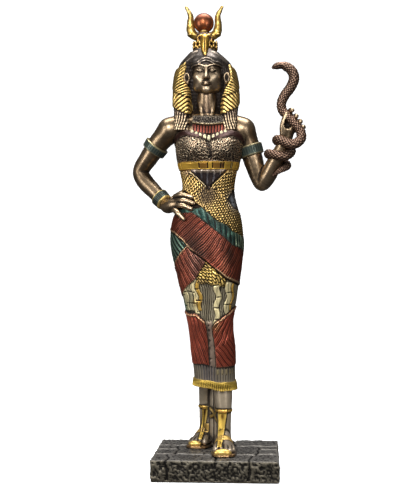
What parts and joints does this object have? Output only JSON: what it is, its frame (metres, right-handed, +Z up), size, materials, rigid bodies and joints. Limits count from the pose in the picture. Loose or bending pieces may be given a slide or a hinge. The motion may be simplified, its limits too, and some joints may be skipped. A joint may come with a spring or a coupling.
{
  "type": "goddess figurine",
  "caption": "Standing goddess in a wrapped sheath dress and horned sun crown, right hand on the hip, left hand holding up a serpent, on a low block of dressed stone.",
  "frame": {"origin": "centre of the plinth's underside, on the surface it stands on", "axes": "+Z up, the goddess faces -Y, her left hand with the serpent is on +X"},
  "size_m": [0.109, 0.07, 0.2895],
  "materials": {
    "antique_bronze": "cold-cast bronze resin, dark antique wash rubbed back to warm highlights, gold, brick red and teal paint",
    "stone_finish_bronze": "the same resin cast as rough dressed stone, near black with rubbed tan edges"
  },
  "bodies": {
    "root": {"figure": "antique_bronze", "plinth": "stone_finish_bronze"}
  },
  "joints": []
}
